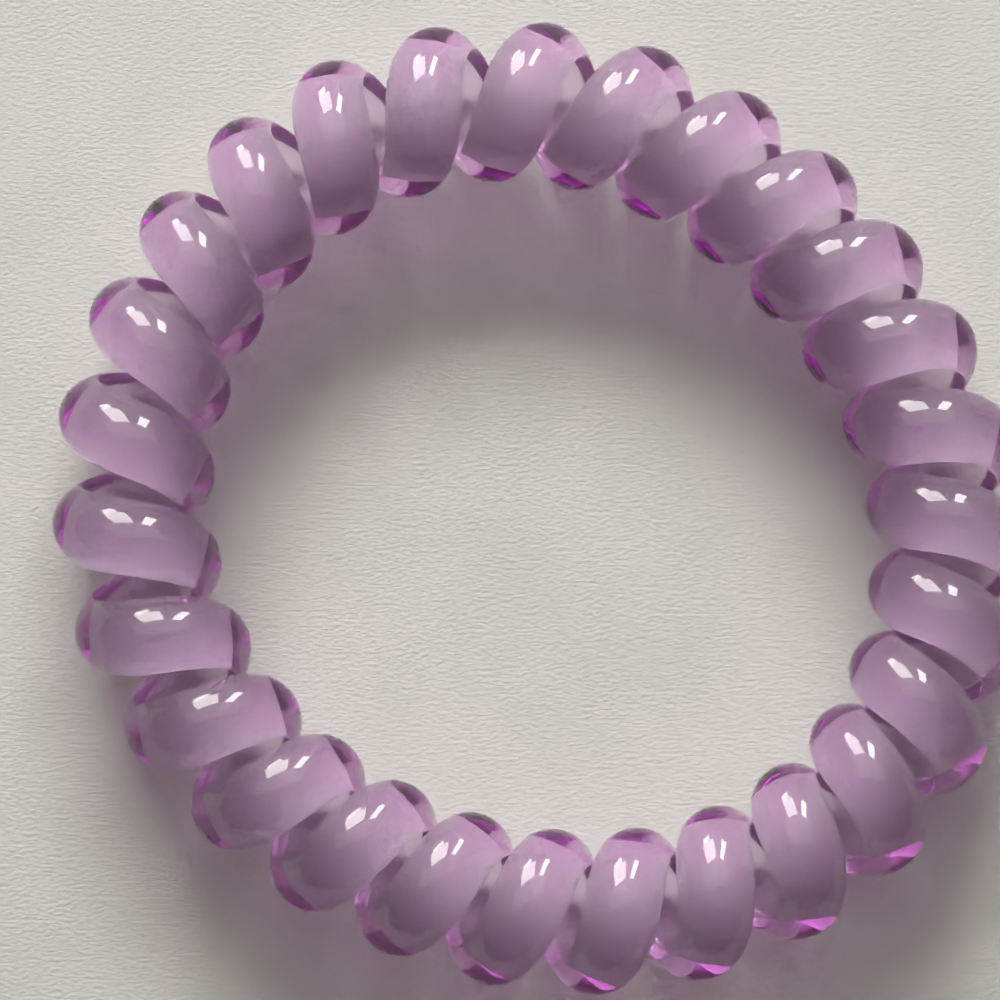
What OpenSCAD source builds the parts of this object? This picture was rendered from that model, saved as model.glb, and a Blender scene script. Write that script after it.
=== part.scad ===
// Spiral hair tie: one clear elastic cord, wound into a coil that closes into a soft oval ring.
// The cord is half-round: its round side faces outward and its flat side lines the coil's tunnel.
// Millimetres. The ring lies on z = 0, its middle is on the Z axis and its long side is along X.

/* [Ring] */
// Length of the ring outside, along X
ring_length = 51.95; // [46:0.05:56]
// Width of the ring outside, along Y
ring_width = 48.05; // [44:0.05:54]
// How much blunter one end of the oval is than the other
egg = 0.28; // [0:0.02:0.6]
// Direction of the blunter end, in degrees from +X
egg_side = 13; // [0:1:120]
// How much squarer than an egg the ring is
squareness = 0.1; // [0:0.02:0.3]
// Direction of the first corner, in degrees from +X
square_side = 56; // [0:1:90]

/* [Coil] */
// Diameter of the coil outside, which is also the height of the tie
coil_d = 8.35; // [7.9:0.05:9]
// Width of the cord, and diameter of its round side
cord_width = 4.05; // [3:0.05:4.2]
// Thickness of the cord, from its round side to its flat side
cord_thickness = 1.8; // [1.4:0.05:2.6]
// Radius of the cord's two edges, where the flat side ends
edge_r = 0.25; // [0.1:0.05:0.4]
// Distance from turn to turn along the coil's axis
turn_pitch = 4.85; // [4.5:0.05:6]
// Least gap between neighbouring turns
turn_gap = 0.05; // [0.03:0.01:0.3]
// How unevenly the turns are spread, from 0 for evenly to 1 for as they lie
unevenness = 1; // [0:0.1:1.5]
// Where the first turn starts, in turns past +X
first_turn = 0.12; // [0:0.01:1]

/* [Facets] */
// Facets across the cord's round side
round_facets = 8; // [6:2:8]
// Facets round each of the cord's edges
edge_facets = 2; // [1:1:2]
// Sections of the cord in each turn
turn_steps = 16; // [12:4:16]

/* [Hidden] */
cord_colour = [0.7, 0.56, 0.73];
up = [0, 0, 1];
cord_r = cord_width / 2;
// From the coil's axis to the middle of the cord's round side
wind_r = coil_d / 2 - cord_r;
// From the ring's middle to the coil's axis
mean_r = (ring_length + ring_width) / 4 - coil_d / 2;
oval = (ring_length - ring_width) / 4;
turns = round(2 * PI * mean_r / turn_pitch);
// Half of the short stretch over which a direction is taken, in turns
probe = 0.01;

// Columns of the tables below: waves round the whole ring, their size, and the direction of a crest
WAVES = 0;
SIZE = 1;
SIDE = 2;
// The ring's outline, with sizes in mm
outline_waves = [
    [2, oval, 0],
    [3, egg, egg_side],
    [4, squareness, square_side]
];
// How far the turns are ahead of an even spread, with sizes in turns
crowding_waves = [
    [1, 0.066, -72],
    [2, 0.034, 75],
    [3, 0.029, 36],
    [4, 0.023, -6]
];

function total(list, from = 0) = from < len(list) ? list[from] + total(list, from + 1) : 0;
function unit(v) = v / norm(v);
function waves_at(table, angle) = total([for (w = table) w[SIZE] * cos(w[WAVES] * (angle - w[SIDE]))]);

// How far ahead of its even share of the angle a point is, so that the arcs between turns are equal
function arc_lead(angle) = total([for (w = outline_waves)
    w[SIZE] / (w[WAVES] * mean_r) * sin(w[WAVES] * (angle - w[SIDE]))]) * 180 / PI;

// Direction in which the coil has made this many turns
function turn_angle(turn) =
    let (even = 360 * (turn + first_turn) / turns)
    even - arc_lead(even) + unevenness * waves_at(crowding_waves, even) * 360 / turns;

// The coil's axis, and the two directions across it
function axis_at(turn) =
    let (angle = turn_angle(turn))
    (mean_r + waves_at(outline_waves, angle)) * [cos(angle), sin(angle), 0];
function axis_direction(turn) = unit(axis_at(turn + probe) - axis_at(turn - probe));
function outward(turn) = cross(axis_direction(turn), up);

// From the coil's axis towards the cord: outward at whole turns, up a quarter of a turn later
function spoke(turn) = cos(360 * turn) * outward(turn) + sin(360 * turn) * up;
function cord_middle(turn) = axis_at(turn) + wind_r * spoke(turn);
function cord_direction(turn) = unit(cord_middle(turn + probe) - cord_middle(turn - probe));

// Turns meet at the inner side of the ring first, where the soft cord is pressed narrower
function inner_tip(turn) = axis_at(turn) - wind_r * outward(turn);
function room(turn) =
    let (step = norm(inner_tip(turn + 0.5) - inner_tip(turn - 0.5)))
    let (loop = 2 * PI * wind_r)
    step * loop / norm([step, loop]) - turn_gap;
function narrowing(turn) =
    max(0, 1 - room(turn) / cord_width) * pow((1 - cos(360 * turn)) / 2, 2);

// The cord's half-round outline: distances outward from the middle of its round side, and across
flat_out = cord_r - cord_thickness;
edge_out = flat_out + edge_r;
edge_across = sqrt(pow(cord_r - edge_r, 2) - pow(edge_out, 2));
edge_angle = atan2(edge_across, edge_out);
function round_point(facet) =
    let (a = edge_angle * (2 * facet / round_facets - 1))
    cord_r * [cos(a), sin(a)];
function edge_point(facet, way) =
    let (a = edge_angle + (180 - edge_angle) * facet / edge_facets)
    [edge_out + edge_r * cos(a), way * (edge_across + edge_r * sin(a))];
cord_outline = [
    for (facet = [0 : round_facets]) round_point(facet),
    for (facet = [1 : edge_facets]) edge_point(facet, 1),
    for (facet = [edge_facets : -1 : 1]) edge_point(facet, -1)
];
cord_sides = len(cord_outline);

// One section across the cord, at full width or pressed narrower along the ring
function section(turn) =
    let (middle = cord_middle(turn))
    let (tall = spoke(turn))
    let (wide = (1 - narrowing(turn)) * cross(cord_direction(turn), tall))
    [for (p = cord_outline) middle + p[0] * tall + p[1] * wide];

module spiral_coil() {
    rings = turns * turn_steps;
    points = [for (ring = [0 : rings - 1]) each section(ring / turn_steps)];
    faces = [for (ring = [0 : rings - 1], side = [0 : cord_sides - 1])
        let (here = ring * cord_sides)
        let (next = (ring + 1) % rings * cord_sides)
        let (turned = (side + 1) % cord_sides)
        each [[here + side, next + side, next + turned], [here + side, next + turned, here + turned]]];
    color(cord_colour)
        translate([0, 0, coil_d / 2])
            polyhedron(points, faces, convexity = 10);
}

spiral_coil();
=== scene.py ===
"""The spiral hair tie: one clear lilac cord coiled into a soft oval ring, lying on pale paper."""

import math

import bpy
import numpy as np
from mathutils import Matrix, Vector


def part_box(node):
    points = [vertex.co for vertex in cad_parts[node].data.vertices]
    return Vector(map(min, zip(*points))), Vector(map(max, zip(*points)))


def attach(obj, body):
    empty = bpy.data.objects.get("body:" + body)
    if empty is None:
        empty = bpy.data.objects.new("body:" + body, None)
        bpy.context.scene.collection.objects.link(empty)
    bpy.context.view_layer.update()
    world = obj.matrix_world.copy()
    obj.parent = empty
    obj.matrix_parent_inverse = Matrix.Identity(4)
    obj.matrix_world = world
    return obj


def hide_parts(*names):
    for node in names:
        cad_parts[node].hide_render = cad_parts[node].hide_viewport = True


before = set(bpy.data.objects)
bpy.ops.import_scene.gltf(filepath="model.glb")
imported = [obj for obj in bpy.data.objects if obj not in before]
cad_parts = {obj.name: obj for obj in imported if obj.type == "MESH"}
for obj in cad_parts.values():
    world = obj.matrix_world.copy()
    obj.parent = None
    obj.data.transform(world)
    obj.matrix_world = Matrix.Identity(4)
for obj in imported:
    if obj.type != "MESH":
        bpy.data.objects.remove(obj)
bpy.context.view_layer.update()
lowest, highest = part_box("spiral_coil")

MM = 0.001
ROUND = 2 * math.pi

# The ring and its coil, as in the CAD model; a SIDE is a direction in degrees round from +X
RING_LENGTH = 51.95 * MM
RING_WIDTH = 48.05 * MM
EGG, EGG_SIDE = 0.28 * MM, 13
SQUARENESS, SQUARE_SIDE = 0.1 * MM, 56
COIL_D = highest.z - lowest.z
CORD_WIDTH = 4.05 * MM
CORD_THICKNESS = 1.8 * MM
CORNER_R = 0.25 * MM
TURN_PITCH = 4.85 * MM
TURN_GAP = 0.05 * MM
FIRST_TURN = 0.12
# Waves round the whole ring, their size in turns, and the direction of a crest in degrees
CROWDING_WAVES = [(1, 0.066, -72), (2, 0.034, 75), (3, 0.029, 36), (4, 0.023, -6)]
# Sections of the cord in each turn
TURN_STEPS = 64
# Steps across the round side, round each corner and across the flat side
ROUND_SIDES, CORNER_SIDES, FLAT_SIDES = 34, 6, 10
# Half of the short stretch over which a direction is taken, in turns
PROBE = 0.01
# The matte finish fades out within 1 / MATTE_FALL of the corner's radius, above the flat side
MATTE_FALL = 4

CORD_R = CORD_WIDTH / 2
WIND_R = (COIL_D - CORD_WIDTH) / 2
FLAT_R = COIL_D / 2 - CORD_THICKNESS
MEAN_R = (RING_LENGTH + RING_WIDTH) / 4 - COIL_D / 2
TURNS = round(ROUND * MEAN_R / TURN_PITCH)
# As CROWDING_WAVES, with sizes in metres
OUTLINE_WAVES = [
    (2, (RING_LENGTH - RING_WIDTH) / 4, 0),
    (3, EGG, EGG_SIDE),
    (4, SQUARENESS, SQUARE_SIDE)]
RING_MIDDLE = Vector((0, 0, COIL_D / 2))

# The camera, fitted to the ring's outline in the photo, which is PHOTO_SIDE pixels wide and high
PHOTO_SIDE = 1000
PIXELS_PER_MM = 19.5
RING_MIDDLE_PX = (541.6, 508.4)
RING_TURNED = math.radians(-45.38)
CAMERA_DISTANCE = 342.6 * MM
LEAN_DOWN = math.radians(8.38)
LEAN_LEFT = math.radians(1.45)
SENSOR = 36
NEAREST_SEEN = 0.01

# The plastic. Noise has so many features in a metre, and absorption is per metre
PLASTIC_IOR = 1.5
DEPTH_COLOUR, DEPTH_DENSITY = (0.87, 0.0, 0.88), 114
GLOSSY_COLOUR = (0.97, 0.96, 0.97)
FROST_COLOURS = (0.63, 0.605, 0.63), (0.77, 0.745, 0.77)
SMEARS, RIPPLES, GRAIN = 260, 420, 5200
# Noise at which a smear starts and is full, and the roughness there
SMEARED, GLOSS_ROUGHNESS = (0.4, 0.75), (0.005, 0.06)
# The flat side as light meets it from the air, and from within the plastic
FROST_CLEARNESS, FROST_ROUGHNESS = (1, 0.5), (0.45, 0.8)
PLASTIC_RELIEF = 0.03 * MM
GRAIN_SHARE = 0.4

# The paper
PAPER_ROUGHNESS = 0.9
FIBRE_LENGTH, FIBRE_WIDTH = 0.3 * MM, 0.17 * MM
BLOTCHES = 160
# Noise at which a blotch or a strand starts and is full, and the colours there
BLOTCHED, PULP_COLOURS = (0.35, 0.65), ((0.86, 0.868, 0.844), (0.818, 0.838, 0.79))
STRANDED, STRAND_COLOURS = (0.3, 0.7), ((0.93, 0.93, 0.91), (1, 1, 1))
PAPER_RELIEF = 0.05 * MM
FLOOR_HALF = 1.5
FLOOR_DROP = 0.02 * MM

# The lights, fitted to the photo's shadows and highlights. Directions and sizes are in degrees of
# the picture: round from its right, and up from its plane towards the camera
LIGHT_COLOUR = (1, 0.985, 0.95)
LIGHT_DISTANCE = 0.9
DAYLIGHT_SIDE, DAYLIGHT_HEIGHT = 96, 24
DAYLIGHT_SIZE = 40, 16
DAYLIGHT_RADIANCE = 15.5
# Name, side, height, width, tallness, radiance and roll
MIRRORED_LIGHTS = [
    ("window_left", 107, 27, 27, 30, 11, 0),
    ("window_left_lower_pane", 111, 8, 15, 9, 14, 15),
    ("window_right", 70, 25, 11, 28, 16, 0),
    ("ceiling", 95, 60, 70, 40, 1.1, 0)]
ROOM_SIDE, ROOM_HEIGHT = 90, 23
# Cosine, from the room's bright side, at which the brightness sets in
ROOM_EDGE = 0.5
ROOM_DIM = (0.085, 0.075, 0.069)
ROOM_BRIGHT = (0.6, 0.585, 0.555)


# The camera

def photo_turn():
    """Rotation from the ring's axes to the picture's: right, up and towards the camera."""
    return (Matrix.Rotation(-LEAN_DOWN, 3, "X") @ Matrix.Rotation(LEAN_LEFT, 3, "Y")
            @ Matrix.Rotation(RING_TURNED, 3, "Z"))


def in_world(right, up, near):
    """A direction given in the picture's axes."""
    return (photo_turn().transposed() @ Vector((right, up, near))).normalized()


def add_camera():
    scale = PIXELS_PER_MM / MM
    column, row = RING_MIDDLE_PX
    right = (column - PHOTO_SIDE / 2) / scale
    up = (PHOTO_SIDE / 2 - row) / scale
    middle = Vector((right, up, -CAMERA_DISTANCE))
    turn = photo_turn().transposed()
    data = bpy.data.cameras.new("camera")
    data.sensor_width = SENSOR
    data.lens = SENSOR * scale * CAMERA_DISTANCE / PHOTO_SIDE
    data.clip_start = NEAREST_SEEN
    camera = bpy.data.objects.new("camera", data)
    bpy.context.collection.objects.link(camera)
    camera.matrix_world = Matrix.Translation(RING_MIDDLE - turn @ middle) @ turn.to_4x4()
    bpy.context.scene.camera = camera


# The coil

def waves_at(table, angle):
    return sum(size * np.cos(waves * (angle - math.radians(side))) for waves, size, side in table)


def turn_angle(turn):
    """Direction in which the coil has made this many turns."""
    even = ROUND * (turn + FIRST_TURN) / TURNS
    lead = sum(size / (waves * MEAN_R) * np.sin(waves * (even - math.radians(side)))
               for waves, size, side in OUTLINE_WAVES)
    return even - lead + waves_at(CROWDING_WAVES, even) * ROUND / TURNS


def unit(vectors):
    return vectors / np.linalg.norm(vectors, axis=-1, keepdims=True)


def axis_at(turn):
    """The coil's axis."""
    angle = turn_angle(turn)
    radius = MEAN_R + waves_at(OUTLINE_WAVES, angle)
    height = np.full_like(turn, RING_MIDDLE.z)
    return np.stack([radius * np.cos(angle), radius * np.sin(angle), height], -1)


def outward(turn):
    along = unit(axis_at(turn + PROBE) - axis_at(turn - PROBE))
    return np.cross(along, (0, 0, 1))


def spoke(turn):
    """From the coil's axis to the cord: outward at whole turns, up a quarter of a turn later."""
    phase = ROUND * turn[:, None]
    return np.cos(phase) * outward(turn) + np.sin(phase) * np.array((0, 0, 1))


def cord_middle(turn):
    return axis_at(turn) + WIND_R * spoke(turn)


def narrowing(turn):
    """How much the soft cord is pressed narrower where turns meet, at the ring's inner side."""
    def inner_tip(at):
        return axis_at(at) - WIND_R * outward(at)
    step = np.linalg.norm(inner_tip(turn + 0.5) - inner_tip(turn - 0.5), axis=-1)
    loop = ROUND * WIND_R
    room = step * loop / np.hypot(step, loop) - TURN_GAP
    return np.maximum(0, 1 - room / CORD_WIDTH) * ((1 - np.cos(ROUND * turn)) / 2) ** 2


def cord_section():
    """The cord's half-round section, and how flat, so how matte, each of its points is.

    A point is its distance outward from the middle of the round side, and its distance across.
    """
    flat_at = FLAT_R - WIND_R
    corner_out = flat_at + CORNER_R
    corner_across = math.sqrt((CORD_R - CORNER_R) ** 2 - corner_out ** 2)
    corner_angle = math.atan2(corner_across, corner_out)
    side = np.linspace(-corner_angle, corner_angle, ROUND_SIDES + 1)
    round_side = CORD_R * np.stack([np.cos(side), np.sin(side)], -1)
    bend = np.linspace(corner_angle, math.pi, CORNER_SIDES + 1)[1:]
    corner = np.stack([corner_out + CORNER_R * np.cos(bend),
                       corner_across + CORNER_R * np.sin(bend)], -1)
    across = np.linspace(corner_across, -corner_across, FLAT_SIDES + 1)[1:-1]
    flat_side = np.stack([np.full_like(across, flat_at), across], -1)
    other_corner = corner[::-1] * (1, -1)
    section = np.concatenate([round_side, corner, flat_side, other_corner])
    flatness = np.clip(1 - (section[:, 0] - flat_at) / CORNER_R * MATTE_FALL, 0, 1)
    return section, flatness


def coil_points(section):
    """The cord's surface, as one closed round of sections."""
    turn = np.arange(TURNS * TURN_STEPS) / TURN_STEPS
    tall = spoke(turn)
    forward = unit(cord_middle(turn + PROBE) - cord_middle(turn - PROBE))
    wide = np.cross(forward, tall) * (1 - narrowing(turn))[:, None]
    return (cord_middle(turn)[:, None] + section[:, 0, None] * tall[:, None]
            + section[:, 1, None] * wide[:, None])


def tube(points, name):
    """A closed mesh through rings of points, the last ring joined to the first."""
    rings, sides = points.shape[:2]
    index = np.arange(rings * sides).reshape(rings, sides)
    ahead = np.roll(index, -1, 0)
    corners = np.stack([index, np.roll(index, -1, 1), np.roll(ahead, -1, 1), ahead], -1)
    mesh = bpy.data.meshes.new(name)
    mesh.from_pydata(points.reshape(-1, 3).tolist(), [], corners.reshape(-1, 4).tolist())
    mesh.shade_smooth()
    piece = bpy.data.objects.new(name, mesh)
    bpy.context.collection.objects.link(piece)
    return piece


# Materials

def new_material(name):
    material = bpy.data.materials.new(name)
    material.use_nodes = True
    nodes = material.node_tree.nodes
    return material, nodes, material.node_tree.links, nodes["Principled BSDF"]


def noise(nodes, links, coordinates, scale, detail):
    """Soft noise, with features 1 / scale long in the coordinates' units."""
    texture = nodes.new("ShaderNodeTexNoise")
    texture.inputs["Scale"].default_value = scale
    texture.inputs["Detail"].default_value = detail
    links.new(coordinates, texture.inputs["Vector"])
    return texture.outputs["Fac"]


def ranged(nodes, links, value, low, high, at_low=0, at_high=1):
    """A value brought from one range to another.

    The ends of the new range, low and high, are numbers or other nodes' outputs.
    """
    spread = nodes.new("ShaderNodeMapRange")
    spread.inputs["From Min"].default_value = at_low
    spread.inputs["From Max"].default_value = at_high
    links.new(value, spread.inputs["Value"])
    for name, end in (("To Min", low), ("To Max", high)):
        if isinstance(end, (int, float)):
            spread.inputs[name].default_value = end
        else:
            links.new(end, spread.inputs[name])
    return spread.outputs["Result"]


def blend(nodes, links, factor, first, second, how="MIX"):
    """Two colours blended. Each is three numbers or another node's output.

    The factor is one number or another node's output.
    """
    mix = nodes.new("ShaderNodeMix")
    mix.data_type = "RGBA"
    mix.blend_type = how
    for name, given in (("Factor", factor), ("A", first), ("B", second)):
        if isinstance(given, bpy.types.NodeSocket):
            links.new(given, mix.inputs[name])
        else:
            mix.inputs[name].default_value = (*given, 1) if isinstance(given, tuple) else given
    return mix.outputs["Result"]


def bump(nodes, links, height, deep):
    """Relief of a depth in metres."""
    relief = nodes.new("ShaderNodeBump")
    relief.inputs["Distance"].default_value = deep
    links.new(height, relief.inputs["Height"])
    return relief.outputs["Normal"]


def clear_plastic():
    """Clear lilac plastic that darkens with depth: glossy on its round side, matte where flat."""
    material, nodes, links, skin = new_material("clear_lilac_plastic")
    skin.inputs["IOR"].default_value = PLASTIC_IOR
    matte = nodes.new("ShaderNodeAttribute")
    matte.attribute_name = "matte"
    matte = matte.outputs["Fac"]
    within = nodes.new("ShaderNodeNewGeometry").outputs["Backfacing"]
    place = nodes.new("ShaderNodeTexCoord").outputs["Object"]
    smears = noise(nodes, links, place, SMEARS, 1)
    ripples = noise(nodes, links, place, RIPPLES, 0)
    grain = noise(nodes, links, place, GRAIN, 0)
    frosted = blend(nodes, links, grain, *FROST_COLOURS)
    links.new(blend(nodes, links, matte, GLOSSY_COLOUR, frosted), skin.inputs["Base Color"])
    # Fitted to the photo's milky zones: the matte side spreads light that comes from within more
    # than light from the air
    clearness = ranged(nodes, links, within, *FROST_CLEARNESS)
    links.new(ranged(nodes, links, matte, 1, clearness), skin.inputs["Transmission Weight"])
    gloss = ranged(nodes, links, smears, *GLOSS_ROUGHNESS, *SMEARED)
    frost = ranged(nodes, links, within, *FROST_ROUGHNESS)
    links.new(ranged(nodes, links, matte, gloss, frost), skin.inputs["Roughness"])
    # Ripples everywhere, and the frost's grain on top of them on the flat side
    relief = nodes.new("ShaderNodeMath")
    relief.operation = "MULTIPLY_ADD"
    links.new(ranged(nodes, links, grain, 0, matte), relief.inputs[0])
    relief.inputs[1].default_value = GRAIN_SHARE
    links.new(ripples, relief.inputs[2])
    links.new(bump(nodes, links, relief.outputs["Value"], PLASTIC_RELIEF), skin.inputs["Normal"])
    depth = nodes.new("ShaderNodeVolumeAbsorption")
    depth.inputs["Color"].default_value = (*DEPTH_COLOUR, 1)
    depth.inputs["Density"].default_value = DEPTH_DENSITY
    links.new(depth.outputs["Volume"], nodes["Material Output"].inputs["Volume"])
    return material


def paper():
    """Warm white paper, with faint blotches and fine fibres that lie across the picture."""
    material, nodes, links, skin = new_material("paper")
    skin.inputs["Roughness"].default_value = PAPER_ROUGHNESS
    place = nodes.new("ShaderNodeTexCoord").outputs["Object"]
    along = nodes.new("ShaderNodeMapping")
    along.vector_type = "TEXTURE"
    along.inputs["Rotation"].default_value = (0, 0, -RING_TURNED)
    along.inputs["Scale"].default_value = (FIBRE_LENGTH, FIBRE_WIDTH, MM)
    links.new(place, along.inputs["Vector"])
    fibres = noise(nodes, links, along.outputs["Vector"], 1, 1)
    blotches = noise(nodes, links, place, BLOTCHES, 1)
    blotched = ranged(nodes, links, blotches, 0, 1, *BLOTCHED)
    pulp = blend(nodes, links, blotched, *PULP_COLOURS)
    stranded = ranged(nodes, links, fibres, 0, 1, *STRANDED)
    strands = blend(nodes, links, stranded, *STRAND_COLOURS)
    links.new(blend(nodes, links, 1, pulp, strands, "MULTIPLY"), skin.inputs["Base Color"])
    links.new(bump(nodes, links, fibres, PAPER_RELIEF), skin.inputs["Normal"])
    return material


# The pieces

def add_coil():
    section, flatness = cord_section()
    points = coil_points(section)
    coil = tube(points, "coiled_cord")
    matte = coil.data.attributes.new("matte", "FLOAT", "POINT")
    matte.data.foreach_set("value", np.tile(flatness, len(points)))
    coil.data.materials.append(clear_plastic())
    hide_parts("spiral_coil")
    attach(coil, "root")


def add_floor():
    corners = [(-FLOOR_HALF, -FLOOR_HALF, 0), (FLOOR_HALF, -FLOOR_HALF, 0),
               (FLOOR_HALF, FLOOR_HALF, 0), (-FLOOR_HALF, FLOOR_HALF, 0)]
    mesh = bpy.data.meshes.new("floor")
    mesh.from_pydata(corners, [], [(0, 1, 2, 3)])
    floor = bpy.data.objects.new("floor", mesh)
    bpy.context.collection.objects.link(floor)
    floor.location.z = -FLOOR_DROP
    mesh.materials.append(paper())


# Lights

def towards(side, height):
    """A direction of the picture, in degrees round from its right and up from its plane."""
    side, height = math.radians(side), math.radians(height)
    return in_world(math.cos(side) * math.cos(height), math.sin(side) * math.cos(height),
                    math.sin(height))


def add_light(name, direction, width, height, radiance, roll=0):
    """A bright rectangle in a direction of the picture, with its width and height in degrees."""
    data = bpy.data.lights.new(name, "AREA")
    data.shape = "RECTANGLE"
    data.size = 2 * LIGHT_DISTANCE * math.tan(math.radians(width / 2))
    data.size_y = 2 * LIGHT_DISTANCE * math.tan(math.radians(height / 2))
    data.energy = math.pi * radiance * data.size * data.size_y
    data.color = LIGHT_COLOUR
    lamp = bpy.data.objects.new(name, data)
    bpy.context.collection.objects.link(lamp)
    lamp.location = RING_MIDDLE + LIGHT_DISTANCE * direction
    facing = (-direction).to_track_quat("-Z", "Y").to_matrix()
    turn = facing @ Matrix.Rotation(math.radians(roll), 3, "Z")
    lamp.rotation_euler = turn.to_euler()
    lamp.visible_camera = False
    return lamp


def add_daylight():
    """The light that casts the shadows."""
    daylight = add_light("daylight", towards(DAYLIGHT_SIDE, DAYLIGHT_HEIGHT), *DAYLIGHT_SIZE,
                         DAYLIGHT_RADIANCE)
    daylight.visible_glossy = False


def add_mirrored_lights():
    """Lights that only glossy surfaces mirror: the highlights and the grey veil on the turns."""
    for name, side, height, wide, tall, radiance, roll in MIRRORED_LIGHTS:
        lamp = add_light(name, towards(side, height), wide, tall, radiance, roll)
        lamp.visible_diffuse = False
        lamp.visible_transmission = False


def add_room():
    """Soft light from all round: bright on the daylight's side, dim and warmer on the other."""
    world = bpy.data.worlds.new("room")
    world.use_nodes = True
    bpy.context.scene.world = world
    nodes, links = world.node_tree.nodes, world.node_tree.links
    coordinates = nodes.new("ShaderNodeTexCoord")
    side = nodes.new("ShaderNodeVectorMath")
    side.operation = "DOT_PRODUCT"
    side.inputs[1].default_value = towards(ROOM_SIDE, ROOM_HEIGHT)
    links.new(coordinates.outputs["Generated"], side.inputs[0])
    spread = nodes.new("ShaderNodeMapRange")
    spread.interpolation_type = "SMOOTHSTEP"
    spread.inputs["From Min"].default_value = ROOM_EDGE
    links.new(side.outputs["Value"], spread.inputs["Value"])
    walls = nodes.new("ShaderNodeMix")
    walls.data_type = "RGBA"
    walls.inputs["A"].default_value = (*ROOM_DIM, 1)
    walls.inputs["B"].default_value = (*ROOM_BRIGHT, 1)
    links.new(spread.outputs["Result"], walls.inputs["Factor"])
    links.new(walls.outputs["Result"], nodes["Background"].inputs["Color"])


add_camera()
add_coil()
add_floor()
add_daylight()
add_mirrored_lights()
add_room()

scene = bpy.context.scene
scene.view_settings.view_transform = "Standard"
scene.cycles.use_denoising = True
# With the albedo too, the denoiser draws a false edge inside each turn
scene.cycles.denoising_input_passes = "RGB"
# Light goes round inside the cord's tips several times before it comes out
scene.cycles.max_bounces = 12
scene.cycles.transmission_bounces = 12
scene.cycles.glossy_bounces = 12
scene.cycles.diffuse_bounces = 2
scene.cycles.caustics_refractive = True
scene.cycles.caustics_reflective = True
